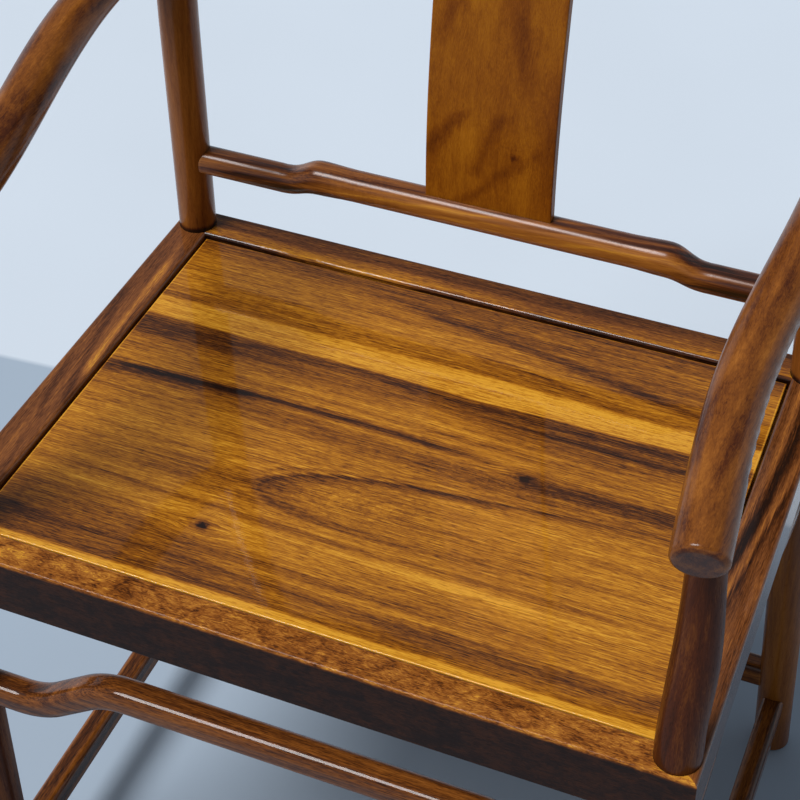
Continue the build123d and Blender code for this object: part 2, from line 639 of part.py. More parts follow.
def build_stretchers(legs: dict) -> dict:
    """The bars between the legs, those of the sides on the right only; their mortises are cut in the legs."""
    hump = (HUMP_SIZE, HUMP_SIZE, HUMP_CORNER)
    side_hump = (SIDE_HUMP_WIDTH, HUMP_SIZE, HUMP_CORNER)
    rises = {hump: HUMP_RISE, side_hump: SIDE_HUMP_RISE}
    low = (FOOT_STRETCHER_WIDTH, FOOT_STRETCHER_THICKNESS, FOOT_STRETCHER_CORNER)
    tread = (FOOTRAIL_WIDTH, FOOTRAIL_THICKNESS, FOOT_STRETCHER_CORNER)
    runs = {
        "front_hump_stretcher": ("front", HUMP_HEIGHT, hump),
        "back_hump_stretcher": ("back", HUMP_HEIGHT, hump),
        "right_hump_stretcher": ("side", SIDE_HUMP_HEIGHT, side_hump),
        "front_footrail": ("front", FOOTRAIL_HEIGHT, tread),
        "right_foot_stretcher": ("side", SIDE_FOOT_HEIGHT, low),
        "back_foot_stretcher": ("back", BACK_FOOT_HEIGHT, low),
    }
    axes = {"front": front_axis, "back": back_axis}
    shafts = {row: leg_shaft(axis, LEG_RADIUS, JOINT_CLEARANCE) for row, axis in axes.items()}
    pieces = {}
    for name, (run, height, section) in runs.items():
        if run == "side":
            stretcher = Stretcher(front_axis(height), back_axis(height), *section)
            far_shaft = shafts["front"]
            mortised = {LEFT: "front", RIGHT: "back"}
        else:
            end = axes[run](height)
            stretcher = Stretcher(across(end), end, *section)
            far_shaft = mirrored(shafts[run])
            mortised = {RIGHT: run}
        if section in rises:
            stretcher.with_hump(rises[section], HUMP_RAMP_OUT, HUMP_RAMP_LENGTH)
        bar = stretcher.bar() - far_shaft - shafts[mortised[RIGHT]]
        pieces[name] = bar + stretcher.tenon(LEFT) + stretcher.tenon(RIGHT)
        for end, row in mortised.items():
            legs[row] -= stretcher.tenon(end, JOINT_CLEARANCE)
    return pieces


def build_chair() -> dict:
    """Every piece by its name, as a list of solids."""
    legs = {"front": leg_shaft(front_axis, ARM_POST_RADIUS), "back": leg_shaft(back_axis, POST_RADIUS)}
    shapes = build_seat()
    shapes.update(build_stretchers(legs))
    shapes.update(build_upper_parts(legs))
    for row, leg in legs.items():
        foot = leg.edges().group_by(Axis.Z)[0]
        shapes[f"{row}_leg_right"] = chamfer(foot, FOOT_CHAMFER)
    pieces = {}
    for name, shape in shapes.items():
        if isinstance(shape, list):
            shape = shape + [mirrored(member) for member in shape]
            pieces[name] = [solid for member in shape for solid in member.solids()]
            continue
        pieces[name] = shape.solids()
        if "right" in name:
            pieces[name.replace("right", "left")] = [mirrored(solid) for solid in shape.solids()]
    return pieces


def main() -> None:
    """Build the chair, centre its footprint on the origin and write one STEP file for each piece."""
    pieces = build_chair()
    box = Compound([solid for solids in pieces.values() for solid in solids]).bounding_box()
    middle_y = (box.min.Y + box.max.Y) / 2
    os.makedirs("parts", exist_ok=True)
    for name, solids in pieces.items():
        placed = [Pos(0, -middle_y, 0) * solid for solid in solids]
        export_step(placed[0] if len(placed) == 1 else Compound(placed), f"parts/{name}.step")
    print(f"size {box.size}, footprint centre at y = {middle_y:.2f} from the seat's front edge")


main()
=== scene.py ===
"""Official's hat armchair: the lacquered timber of each piece, the studio and the camera.

Metres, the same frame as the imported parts: +Z up, the front of the chair toward -Y, the floor at z = 0.
Figure in the wood is laid out in millimetres, because that is how a joiner would mark it on a board.
"""

import logging
import math
from dataclasses import dataclass
from enum import Enum

import bmesh
import bpy
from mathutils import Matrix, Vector

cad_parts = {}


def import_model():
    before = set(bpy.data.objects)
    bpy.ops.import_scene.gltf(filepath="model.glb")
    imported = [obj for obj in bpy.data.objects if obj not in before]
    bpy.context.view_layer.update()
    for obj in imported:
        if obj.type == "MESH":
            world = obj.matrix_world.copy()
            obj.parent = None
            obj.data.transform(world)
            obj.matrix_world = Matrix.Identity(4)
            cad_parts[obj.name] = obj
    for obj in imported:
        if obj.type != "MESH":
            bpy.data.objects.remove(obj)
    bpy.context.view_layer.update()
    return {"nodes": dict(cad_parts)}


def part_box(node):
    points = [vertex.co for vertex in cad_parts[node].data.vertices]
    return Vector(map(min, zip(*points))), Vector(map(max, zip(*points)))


LOG = logging.getLogger("armchair")
MM = 1000.0  # millimetres in a metre
Socket = bpy.types.NodeSocket


class Grain(Enum):
    """The way a piece's fibres run, and the turn that brings them to the x axis of its figure."""

    SIDEWAYS = ((0.0, 0.0, 0.0), (1.0, 0.0, 0.0))
    FRONT_TO_BACK = ((0.0, 0.0, -math.pi / 2), (0.0, 1.0, 0.0))
    UPRIGHT = ((0.0, math.pi / 2, 0.0), (0.0, 0.0, 1.0))
    UPRIGHT_BOARD = ((math.pi / 2, 0.0, math.pi / 2), (0.0, 0.0, 1.0))

    def __init__(self, turn: tuple[float, float, float], fibre: tuple[float, float, float]) -> None:
        """Keep the turn, as three angles, and the direction of the fibres in the chair."""
        self.turn, self.fibre = turn, fibre


def linear(colour: str) -> tuple[float, float, float, float]:
    """Turn an sRGB hex colour into linear red, green, blue and full alpha.

    Args:
        colour: six hex digits, such as "c8842a".

    Returns:
        The four linear values.
    """
    values = []
    for start in (0, 2, 4):
        share = int(colour[start : start + 2], 16) / 255
        values.append(share / 12.92 if share <= 0.04045 else ((share + 0.055) / 1.055) ** 2.4)
    return (*values, 1.0)


class NodeSheet:
    """The emptied node tree of one finish."""

    def __init__(self, owner: bpy.types.Material | bpy.types.World) -> None:
        """Empty the owner's node tree to write on it.

        Args:
            owner: the material or world that the nodes belong to.
        """
        owner.use_nodes = True
        self.tree = owner.node_tree
        self.tree.nodes.clear()

    def add(self, kind: str, inputs: dict, out: int | str = 0, **settings: object) -> Socket | None:
        """Add a node with its settings, and fill its sockets with links or plain values.

        Args:
            kind: the node's type without its ShaderNode prefix.
            inputs: socket name or number to a value or to another node's output. A MapRange takes the
                value at 0, the range it comes in at 1 and 2, and the range it leaves in at 3 and 4.
            out: the output to give back.
            **settings: attributes of the node; stops gives a colour ramp's (position, colour) pairs.

        Returns:
            The chosen output, or None for a node without outputs.
        """
        node = self.tree.nodes.new("ShaderNode" + kind)
        for place, (position, colour) in enumerate(settings.pop("stops", ())):
            elements = node.color_ramp.elements
            stop = elements[place] if place < 2 else elements.new(position)
            stop.position = position
            stop.color = colour
        for name, value in settings.items():
            setattr(node, name, value)
        for key, value in inputs.items():
            if isinstance(value, Socket):
                self.tree.links.new(value, node.inputs[key])
            else:
                node.inputs[key].default_value = value
        return node.outputs[out] if node.outputs else None


def fibre_noise(sheet: NodeSheet, place: Socket, length: float, width: float, **look: float) -> Socket:
    """Noise drawn out along the fibres.

    Args:
        sheet: the finish it belongs to.
        place: the point in millimetres, fibres along x.
        length: size of a feature along the fibres, mm.
        width: its size across them, mm.
        **look: Detail, Roughness or Distortion of the noise.

    Returns:
        A value about 0.5, from 0 to 1.
    """
    stretched = sheet.add(
        "VectorMath", {0: place, 1: (1 / length, 1 / width, 1 / width)}, operation="MULTIPLY"
    )
    return sheet.add("TexNoise", {"Vector": stretched, "Scale": 1.0, **look})


def centred(sheet: NodeSheet, value: Socket, reach: float) -> Socket:
    """Turn a value about 0.5 into one about 0 that reaches so far to either side."""
    return sheet.add("Math", {0: value, 1: 2 * reach, 2: -reach}, operation="MULTIPLY_ADD")


def bell(sheet: NodeSheet, offset: Socket, width: float) -> Socket:
    """A soft bell that is 1 where offset is 0 and has died away beyond width or so.

    Args:
        sheet: the finish it belongs to.
        offset: distance from the middle of the bell, mm.
        width: where it has fallen to about a third, mm.

    Returns:
        The bell's height, from 0 to 1.
    """
    scaled = sheet.add("Math", {0: offset, 1: 1 / width}, operation="MULTIPLY")
    square = sheet.add("Math", {0: scaled, 1: scaled}, operation="MULTIPLY")
    falling = sheet.add("Math", {0: square, 1: -1.0}, operation="MULTIPLY")
    return sheet.add("Math", {0: falling}, operation="EXPONENT")


@dataclass(frozen=True)
class Streak:
    """A dark mineral line or a pale line that runs along a board, on a slight bend.

    It is drawn through three points (along, across) in millimetres. A negative strength is dark.
    """

    start: tuple[float, float]
    middle: tuple[float, float]
    end: tuple[float, float]
    width: float
    strength: float

    def draw(self, sheet: NodeSheet, along: Socket, across: Socket) -> Socket:
        """Add the streak's own tone, dying away past its ends.

        Args:
            sheet: the finish it belongs to.
            along: distance along the board, mm.
            across: distance across it, mm.

        Returns:
            The tone to add.
        """
        # The parabola through the three points: across = bend * along² + slope * along + level.
        (x0, y0), (x1, y1), (x2, y2) = self.start, self.middle, self.end
        first = (y1 - y0) / (x1 - x0)
        bend = ((y2 - y1) / (x2 - x1) - first) / (x2 - x0)
        slope = first - bend * (x0 + x1)
        level = y0 - first * x0 + bend * x0 * x1
        rising = sheet.add("Math", {0: along, 1: bend, 2: slope}, operation="MULTIPLY_ADD")
        line = sheet.add("Math", {0: along, 1: rising, 2: level}, operation="MULTIPLY_ADD")
        offset = sheet.add("Math", {0: across, 1: line}, operation="SUBTRACT")
        reach = abs(x2 - x0) / 2
        from_middle = sheet.add("Math", {0: along, 1: (x0 + x2) / 2}, operation="SUBTRACT")
        distance = sheet.add("Math", {0: from_middle}, operation="ABSOLUTE")
        ends = {0: distance, 1: reach * 0.7, 2: reach, 3: self.strength, 4: 0.0}
        fade = sheet.add("MapRange", ends, interpolation_type="SMOOTHSTEP")
        return sheet.add("Math", {0: bell(sheet, offset, self.width), 1: fade}, operation="MULTIPLY")


@dataclass(frozen=True)
class Patch:
    """A darker or paler area with no clear edge."""

    centre: tuple[float, float]
    reach: tuple[float, float]
    strength: float

    def draw(self, sheet: NodeSheet, along: Socket, across: Socket) -> Socket:
        """Add the patch's own tone.

        Args:
            sheet: the finish it belongs to.
            along: distance along the board, mm.
            across: distance across it, mm.

        Returns:
            The tone to add.
        """
        x = sheet.add("Math", {0: along, 1: self.centre[0]}, operation="SUBTRACT")
        y = sheet.add("Math", {0: across, 1: self.centre[1]}, operation="SUBTRACT")
        bells = {0: bell(sheet, x, self.reach[0]), 1: bell(sheet, y, self.reach[1])}
        cover = sheet.add("Math", bells, operation="MULTIPLY")
        return sheet.add("Math", {0: cover, 1: self.strength}, operation="MULTIPLY")


@dataclass(frozen=True)
class Knot:
    """A small sound knot, with the grain flowing round it."""

    along: float
    across: float
    radius: float
    depth: float = 1.0

    def bend_grain(self, sheet: NodeSheet, along: Socket, across: Socket) -> tuple[Socket, Socket]:
        """Spread the grain round the knot.

        Args:
            sheet: the finish it belongs to.
            along: distance along the board, mm.
            across: distance across it, mm.

        Returns:
            The new distance across, and the knot's own tone.
        """
        x = sheet.add("Math", {0: along, 1: self.along}, operation="SUBTRACT")
        y = sheet.add("Math", {0: across, 1: self.across}, operation="SUBTRACT")
        bells = {0: bell(sheet, x, self.radius * 6), 1: bell(sheet, y, self.radius * 3)}
        near = sheet.add("Math", bells, operation="MULTIPLY")
        pull = sheet.add("Math", {0: near, 1: y}, operation="MULTIPLY")
        eased = sheet.add("Math", {0: pull, 1: -0.8, 2: across}, operation="MULTIPLY_ADD")
        here = (self.along, self.across)
        core = Patch(here, (self.radius, self.radius * 0.8), -self.depth)
        halo = Patch(here, (self.radius * 3.6, self.radius * 1.8), -0.3 * self.depth)
        both = {0: core.draw(sheet, along, across), 1: halo.draw(sheet, along, across)}
        return eased, sheet.add("Math", both, operation="ADD")


@dataclass(frozen=True)
class Curl:
    """An area where the fibres wave in short ripples, 7 mm long and 2 mm apart."""

    centre: tuple[float, float]
    reach: tuple[float, float]
    contrast: float

    def draw(self, sheet: NodeSheet, along: Socket, across: Socket) -> Socket:
        """Add the ripples inside their own area.

        Args:
            sheet: the finish it belongs to.
            along: distance along the board, mm.
            across: distance across it, mm.

        Returns:
            The tone to add.
        """
        place = sheet.add("CombineXYZ", {"X": along, "Y": across})
        ripple = fibre_noise(sheet, place, 7.0, 2.0, Detail=2.0, Distortion=2.2)
        waves = centred(sheet, ripple, self.contrast)
        cover = Patch(self.centre, self.reach, 1.0).draw(sheet, along, across)
        return sheet.add("Math", {0: waves, 1: cover}, operation="MULTIPLY")


@dataclass(frozen=True)
class Arches:
    """A flat-sawn figure: pointed arches nested along the board where the saw met the rings flat.

    Their axis starts at the tip and drifts across the board; reach gives the middle of the area they
    cover, from the tip, and its half length and half width.
    """

    tip: tuple[float, float]
    drift: float
    half_width: float
    length: float
    reach: tuple[float, float, float]
    contrast: float = 0.5

    def draw(self, sheet: NodeSheet, along: Socket, across: Socket) -> Socket:
        """Add the arches inside their own part of the board: a dark outer one, then paler ones within.

        Args:
            sheet: the finish it belongs to.
            along: distance along the board, mm.
            across: distance across it, mm.

        Returns:
            The tone to add.
        """
        x = sheet.add("Math", {0: along, 1: self.tip[0]}, operation="SUBTRACT")
        axis = sheet.add("Math", {0: x, 1: self.drift, 2: self.tip[1]}, operation="MULTIPLY_ADD")
        y = sheet.add("Math", {0: across, 1: axis}, operation="SUBTRACT")
        depth = sheet.add("MapRange", {0: x, 1: 0.0, 2: self.length, 3: self.half_width, 4: 0.0})
        radial = sheet.add("CombineXYZ", {"X": y, "Y": depth})
        ring = sheet.add("VectorMath", {0: radial}, out="Value", operation="LENGTH")
        within = sheet.add("Math", {0: self.half_width, 1: ring}, operation="SUBTRACT")
        # Millimetres inside the outer arch and the tone there: a dark line, then wood that clears.
        low, high = -5.0, 26.0
        share = sheet.add("MapRange", {0: within, 1: low, 2: high})
        outer, inner = ((low, 0.5), (-1.5, 0.44), (1.5, 0.1)), ((5.0, 0.28), (9.0, 0.46), (15.0, 0.5))
        tones = (*outer, *inner, (high, 0.54))
        stops = [((at - low) / (high - low), (tone, tone, tone, 1.0)) for at, tone in tones]
        main = sheet.add("ValToRGB", {0: share}, stops=stops)
        # Finer rings between, 2.5 mm apart.
        fine = sheet.add("Math", {0: ring, 1: 0.4}, operation="MULTIPLY")
        look = {"W": fine, "Scale": 1.0, "Detail": 3.0, "Roughness": 0.6}
        nest = sheet.add("TexNoise", look, noise_dimensions="1D")
        figures = {0: centred(sheet, main, self.contrast), 1: centred(sheet, nest, self.contrast * 0.5)}
        both = sheet.add("Math", figures, operation="ADD")
        centre, half_length, half_width = self.reach
        from_centre = sheet.add("Math", {0: x, 1: centre}, operation="SUBTRACT")
        bells = {0: bell(sheet, from_centre, half_length), 1: bell(sheet, y, half_width)}
        inside = sheet.add("Math", bells, operation="MULTIPLY")
        # The side towards the front of the chair is half as strong.
        sides = {0: y, 1: -30.0, 2: 15.0, 3: 0.5, 4: 1.0}
        uneven = sheet.add("MapRange", sides, interpolation_type="SMOOTHSTEP")
        cover = sheet.add("Math", {0: inside, 1: uneven}, operation="MULTIPLY")
        return sheet.add("Math", {0: both, 1: cover}, operation="MULTIPLY")


@dataclass(frozen=True)
class Timber:
    """Hardwood under clear gloss lacquer, rubbed down between coats.

    The pores are filled, so the eye gets a thin mirror on top of the wood and its colour from below it.
    Tones run from 0, the darkest heartwood line, to 1, the palest gold, and each contrast says how much
    of that one layer of figure may change. Lengths are millimetres, and figure is marked out from the
    middle of the seat's front edge, level with the top of the frame.
    """

    name: str
    grain: Grain
    darkest: str = "1c0b04"
    dark: str = "4c260c"
    middle: str = "8a4f10"
    pale: str = "bb781a"
    palest: str = "e0a030"
    tone: float = 0.45
    ring_contrast: float = 0.4
    ring_spacing: float = 9.0
    pith: tuple[float, float] = (60.0, 90.0)  # where the log's middle lies, across the board and in depth
    lean: tuple[float, float] = (0.03, 0.06)  # its drift along the board, a length of one
    wander: float = 4.0
    cloud_contrast: float = 0.3
    fibre_contrast: float = 0.4
    dash_contrast: float = 0.26
    fleck_contrast: float = 0.22
    pore_contrast: float = 0.2
    mottle_contrast: float = 0.0
    gloss: float = 0.7  # weight of the clear coat
    gloss_roughness: float = 0.05
    feather: float = 4.0  # how far single fibres break up the edge of a band
    wear_and_highlight: float = 0.15  # how much paler an arris is, from rubbing wear and a painted highlight
    bands: tuple[tuple[float, float], ...] = ()  # distance across the board and its tone
    figure: tuple[Streak | Patch | Curl | Arches, ...] = ()
    knots: tuple[Knot, ...] = ()
    rim: tuple[float, float, float, float] | None = None  # half widths at the front and back, and where
    shaded_face_top: float | None = None  # height of the lowest fully figured wood; the outer face below it is painted in shade
    shaded_face_tone: float = 0.05

    def place(self, sheet: NodeSheet, origin: Vector) -> Socket:
        """The point that the finish is worked out for.

        Args:
            sheet: the finish it belongs to.
            origin: the middle of the seat's front edge, on the frame's top, in metres.

        Returns:
            Millimetres from the origin, turned so that the fibres run along x.
        """
        point = sheet.add("TexCoord", {}, out="Object")
        from_seat = sheet.add("VectorMath", {0: point, 1: tuple(origin)}, operation="SUBTRACT")
        inputs = {"Vector": from_seat, "Rotation": self.grain.turn, "Scale": (MM, MM, MM)}
        return sheet.add("Mapping", inputs, vector_type="POINT")

    def wandered(self, sheet: NodeSheet, place: Socket) -> Socket:
        """Let the grain wander sideways over a span of about 200 mm, as it does in a sawn board.

        Args:
            sheet: the finish it belongs to.
            place: the point in millimetres, fibres along x.

        Returns:
            The point in the straight-grained board that it was before.
        """
        shift = fibre_noise(sheet, place, 220.0, 60.0, Detail=1.0)
        small = fibre_noise(sheet, place, 40.0, 9.0, Detail=1.0)
        ways = {0: centred(sheet, shift, self.wander), 1: centred(sheet, small, self.wander * 0.3)}
        across = sheet.add("Math", ways, operation="ADD")
        offset = sheet.add("CombineXYZ", {"Y": across, "Z": across})
        return sheet.add("VectorMath", {0: place, 1: offset}, operation="ADD")

    def rings(self, sheet: NodeSheet, place: Socket) -> Socket:
        """Growth rings round a pith that leans against the board, which gives its arches and stripes.

        Args:
            sheet: the finish it belongs to.
            place: the point in millimetres, fibres along x.

        Returns:
            A value about 0.5 that changes from ring to ring.
        """
        split = sheet.add("SeparateXYZ", {0: place}, out="X")
        node = split.node
        sides = []
        for axis, centre, lean in (("Y", self.pith[0], self.lean[0]), ("Z", self.pith[1], self.lean[1])):
            line = sheet.add("Math", {0: split, 1: lean, 2: centre}, operation="MULTIPLY_ADD")
            sides.append(sheet.add("Math", {0: node.outputs[axis], 1: line}, operation="SUBTRACT"))
        radial = sheet.add("CombineXYZ", {"Y": sides[0], "Z": sides[1]})
        radius = sheet.add("VectorMath", {0: radial}, out="Value", operation="LENGTH")
        count = sheet.add("Math", {0: radius, 1: 1 / self.ring_spacing}, operation="MULTIPLY")
        look = {"W": count, "Scale": 1.0, "Detail": 3.0, "Roughness": 0.55}
        return sheet.add("TexNoise", look, noise_dimensions="1D")

    def banded(self, sheet: NodeSheet, across: Socket) -> Socket:
        """Broad bands of early and late growth at marked distances across the board.

        Args:
            sheet: the finish it belongs to.
            across: distance across the board, mm.

        Returns:
            The tone to add.
        """
        low, high = self.bands[0][0], self.bands[-1][0]
        share = sheet.add("MapRange", {0: across, 1: low, 2: high})
        stops = [((at - low) / (high - low), (tone, tone, tone, 1.0)) for at, tone in self.bands]
        return centred(sheet, sheet.add("ValToRGB", {0: share}, stops=stops), 0.5)

    def layers(self, sheet: NodeSheet, place: Socket) -> list[Socket]:
        """The tones that are added to the board's own, each about 0.

        Args:
            sheet: the finish it belongs to.
            place: the point in millimetres, fibres along x.

        Returns:
            One socket for each layer.
        """
        flowing = self.wandered(sheet, place)
        split = sheet.add("SeparateXYZ", {0: flowing}, out="X")
        along, across, depth = split, split.node.outputs["Y"], split.node.outputs["Z"]
        found = []
        if self.knots:
            ragged = sheet.add("TexNoise", {"Vector": place, "Scale": 0.25, "Detail": 2.0})
            along = sheet.add("Math", {0: centred(sheet, ragged, 3.0), 1: along}, operation="ADD")
        for knot in self.knots:
            across, own_tone = knot.bend_grain(sheet, along, across)
            found.append(own_tone)
        # Real fibre bundles are 0.2 to 0.4 mm wide, and these are drawn 0.7 to 1.4 mm wide so that they
        # show. The clouds are the board's own slow changes of colour, 230 mm long and 13 mm wide.
        bent = sheet.add("CombineXYZ", {"X": along, "Y": across, "Z": depth})
        long_fibres = fibre_noise(sheet, bent, 110.0, 1.4, Detail=4.0, Roughness=0.62)
        dashes = fibre_noise(sheet, bent, 20.0, 0.9, Detail=2.0, Roughness=0.6)
        flecks = fibre_noise(sheet, bent, 6.0, 0.7, Detail=1.0)
        clouds = fibre_noise(sheet, bent, 230.0, 13.0, Detail=3.0, Roughness=0.55)
        frayed = centred(sheet, long_fibres, self.feather)
        feathered = sheet.add("Math", {0: frayed, 1: across}, operation="ADD")
        patterns = [
            (self.rings(sheet, bent), self.ring_contrast),
            (clouds, self.cloud_contrast),
            (long_fibres, self.fibre_contrast),
            (dashes, self.dash_contrast),
            (flecks, self.fleck_contrast),
        ]
        if self.mottle_contrast:
            # The swirls of a burr are 14 to 24 mm across, and its curled fibres 3 to 8 mm.
            mottle = fibre_noise(sheet, place, 24.0, 14.0, Detail=3.0, Distortion=1.2)
            curl = fibre_noise(sheet, place, 8.0, 2.6, Detail=3.0, Distortion=2.6)
            patterns += [(mottle, self.mottle_contrast), (curl, self.mottle_contrast)]
        found += [centred(sheet, pattern, contrast) for pattern, contrast in patterns]
        if self.bands:
            found.append(self.banded(sheet, feathered))
        found += [mark.draw(sheet, along, feathered) for mark in self.figure]
        return found

    def painted_shade_face(self, sheet: NodeSheet, place: Socket, tone: Socket) -> Socket:
        """Painted shade: below the top of a burr board its outer face is painted dark, with little figure
        left.

        Args:
            sheet: the finish it belongs to.
            place: the point in millimetres, fibres along x.
            tone: the tone of the board's top.

        Returns:
            The tone of the whole board.
        """
        left, blend = 0.3, 3.0  # share of the figure that is left, and the height of the change, mm
        height = sheet.add("SeparateXYZ", {0: place}, out="Z")
        own = self.shaded_face_tone - left * self.tone
        quiet = sheet.add("Math", {0: tone, 1: left, 2: own}, operation="MULTIPLY_ADD")
        top = sheet.add("MapRange", {0: height, 1: self.shaded_face_top - blend, 2: self.shaded_face_top})
        return sheet.add("Mix", {0: top, 2: quiet, 3: tone}, data_type="FLOAT")

    def painted_rim_highlight(self, sheet: NodeSheet, place: Socket) -> Socket:
        """A painted highlight: a paler line, 1.2 mm wide, along the board's outer arris, where its
        rounded edge would catch the light.

        Args:
            sheet: the finish it belongs to.
            place: the point in millimetres, fibres along x.

        Returns:
            The tone to add.
        """
        inner, outer, paler = -1.6, -0.8, 0.3
        split = sheet.add("SeparateXYZ", {0: place}, out="X")
        across = split.node.outputs["Y"]
        half_front, half_back, front, back = self.rim
        side = sheet.add("MapRange", {0: across, 1: front, 2: back, 3: half_front, 4: half_back})
        reach = sheet.add("Math", {0: split}, operation="ABSOLUTE")
        from_side = sheet.add("Math", {0: reach, 1: side}, operation="SUBTRACT")
        middle = sheet.add("Math", {0: across, 1: (front + back) / 2}, operation="SUBTRACT")
        depth = sheet.add("Math", {0: middle}, operation="ABSOLUTE")
        from_end = sheet.add("Math", {0: depth, 1: (back - front) / 2}, operation="SUBTRACT")
        nearest = sheet.add("Math", {0: from_side, 1: from_end}, operation="MAXIMUM")
        return sheet.add("MapRange", {0: nearest, 1: inner, 2: outer, 3: 0.0, 4: paler})

    def pores(self, sheet: NodeSheet, place: Socket) -> Socket:
        """Filled vessels, real ones 0.2 mm wide; drawn 0.7 mm wide and 9 mm long so that they show."""
        dashes = fibre_noise(sheet, place, 9.0, 0.7, Detail=1.0)
        return sheet.add("MapRange", {0: dashes, 1: 0.56, 2: 0.7}, interpolation_type="SMOOTHSTEP")

    def painted_gap_shade(self, sheet: NodeSheet) -> Socket:
        """Painted shade: darker in the gaps and at the shoulders of the joints, where ambient occlusion
        finds them.
        """
        shelter = sheet.add("AmbientOcclusion", {"Distance": 0.003}, out="AO", samples=3)
        return sheet.add("MapRange", {0: shelter, 1: 0.2, 2: 0.66, 3: -0.7, 4: 0.0})

    def end_grain(self, sheet: NodeSheet) -> Socket:
        """Cut ends, which drink in the lacquer and go darker.

        Args:
            sheet: the finish it belongs to.

        Returns:
            The tone to add where the surface faces along the fibres.
        """
        sides = {0: sheet.add("TexCoord", {}, out="Normal"), 1: self.grain.fibre}
        facing = sheet.add("VectorMath", sides, out="Value", operation="DOT_PRODUCT")
        share = sheet.add("Math", {0: facing}, operation="ABSOLUTE")
        return sheet.add("MapRange", {0: share, 1: 0.84, 2: 0.93, 3: 0.0, 4: -0.13})

    def worn_and_highlit_edges(self, sheet: NodeSheet) -> Socket:
        """Paler arrises over 1 mm or so, where rubbing down has thinned the colour of the lacquer, with a
        painted highlight along them as well.
        """
        thin = sheet.add("AmbientOcclusion", {"Distance": 0.0016}, out="AO", samples=2, inside=True)
        return sheet.add("MapRange", {0: thin, 1: 0.45, 2: 0.85, 3: self.wear_and_highlight, 4: 0.0})

    def material(self, origin: Vector) -> bpy.types.Material:
        """Build the finish: the wood's tones under a clear coat.

        The wood itself hardly shines, and the coat is soft lacquer with a low IOR. Bump is real relief:
        pores sunk 0.1 mm, and the slight orange peel of brushed lacquer, 5 to 7 mm from hump to hump.

        Args:
            origin: the middle of the seat's front edge, on the frame's top, in metres.

        Returns:
            The lacquered material.
        """
        material = bpy.data.materials.new(self.name)
        sheet = NodeSheet(material)
        place = self.place(sheet, origin)
        pores = self.pores(sheet, place)
        holes = {0: pores, 1: -self.pore_contrast, 2: self.tone}
        tone = sheet.add("Math", holes, operation="MULTIPLY_ADD")
        # painted shade in the gaps and at joint shoulders is added here, with the darker cut ends
        layers = [*self.layers(sheet, place), self.painted_gap_shade(sheet), self.end_grain(sheet)]
        # paler arrises: rubbing wear together with a painted highlight
        if self.wear_and_highlight:
            layers.append(self.worn_and_highlit_edges(sheet))
        # the panel's outer arris gets a painted highlight
        if self.rim:
            layers.append(self.painted_rim_highlight(sheet, place))
        for layer in layers:
            tone = sheet.add("Math", {0: tone, 1: layer}, operation="ADD")
        # the outer face below the top is painted in shade
        if self.shaded_face_top is not None:
            tone = self.painted_shade_face(sheet, place, tone)
        shades = (self.darkest, self.dark, self.middle, self.pale, self.palest)
        stops = [(number / (len(shades) - 1), linear(shade)) for number, shade in enumerate(shades)]
        colour = sheet.add("ValToRGB", {0: tone}, stops=stops)
        # Below the coat the wood is dull, and duller still in its pores.
        roughness = sheet.add("MapRange", {0: pores, 3: 0.5, 4: 0.7})
        relief = sheet.add("Bump", {"Strength": 0.25, "Distance": 0.0001, "Height": pores}, invert=True)
        orange_peel = fibre_noise(sheet, place, 7.0, 5.0, Detail=1.0)
        skin = sheet.add("Bump", {"Strength": 0.06, "Distance": 0.0003, "Height": orange_peel})
        surface = sheet.add(
            "BsdfPrincipled",
            {
                "Base Color": colour,
                "Roughness": roughness,
                "IOR": 1.5,
                "Specular IOR Level": 0.06,
                "Normal": relief,
                "Coat Weight": self.gloss,
                "Coat Roughness": self.gloss_roughness,
                "Coat IOR": 1.38,
                "Coat Normal": skin,
            },
        )
        sheet.add("OutputMaterial", {"Surface": surface})
        return material


def dress(piece: bpy.types.Object, finish: bpy.types.Material) -> None:
    """Give every material slot of a piece the same finish.

    Args:
        piece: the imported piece, whose mesh stays as it is.
        finish: the material to give it.
    """
    if not piece.data.materials:
        piece.data.materials.append(finish)
    for slot in piece.material_slots:
        slot.material = finish


@dataclass
class SubAssembly:
    """A group of pieces that are finished together.

    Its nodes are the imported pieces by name, and its origin is the middle of the seat's front edge.
    """

    nodes: dict[str, bpy.types.Object]
    origin: Vector

    def finishes(self) -> dict[str, Timber]:
        """The finish of each piece by its name."""
        return {}

    def build(self) -> None:
        """Finish every piece and report it."""
        for name, timber in self.finishes().items():
            dress(self.nodes[name], timber.material(self.origin))
            LOG.info("%s: %s", name, timber.name)


